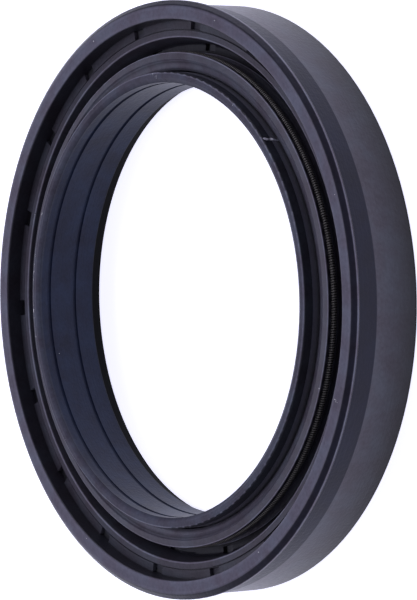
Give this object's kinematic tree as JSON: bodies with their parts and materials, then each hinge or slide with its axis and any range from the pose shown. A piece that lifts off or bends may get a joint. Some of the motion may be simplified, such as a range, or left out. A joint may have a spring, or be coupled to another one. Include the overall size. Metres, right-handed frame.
{
  "type": "unitised radial shaft seal",
  "caption": "Round cassette shaft seal: rubber-covered case with a sprung lip that runs on its own steel wear sleeve, lined with rubber to grip the shaft.",
  "frame": {"origin": "on the seal's axis, in the plane of its two rear faces", "axes": "+Z along the seal's axis towards the spring (oil) side, +X just short of the middle of one notch"},
  "size_m": [0.1166, 0.1166, 0.0162],
  "materials": {
    "case_rubber": "moulded, semi-matt",
    "case_steel": "phosphated sheet",
    "spring_steel": "drawn wire, oiled",
    "sleeve_steel": "ground running surface",
    "lining_rubber": "moulded, satin"
  },
  "bodies": {
    "case": {"rubber_body": "case_rubber", "steel_case": "case_steel", "garter_spring": "spring_steel"},
    "sleeve": {"wear_sleeve": "sleeve_steel", "sleeve_lining": "lining_rubber"}
  },
  "joints": [
    {"name": "sleeve_turn", "type": "hinge", "parent": "case", "child": "sleeve", "pos_m": [0, 0, 0], "axis": [0, 0, 1], "continuous": true}
  ]
}
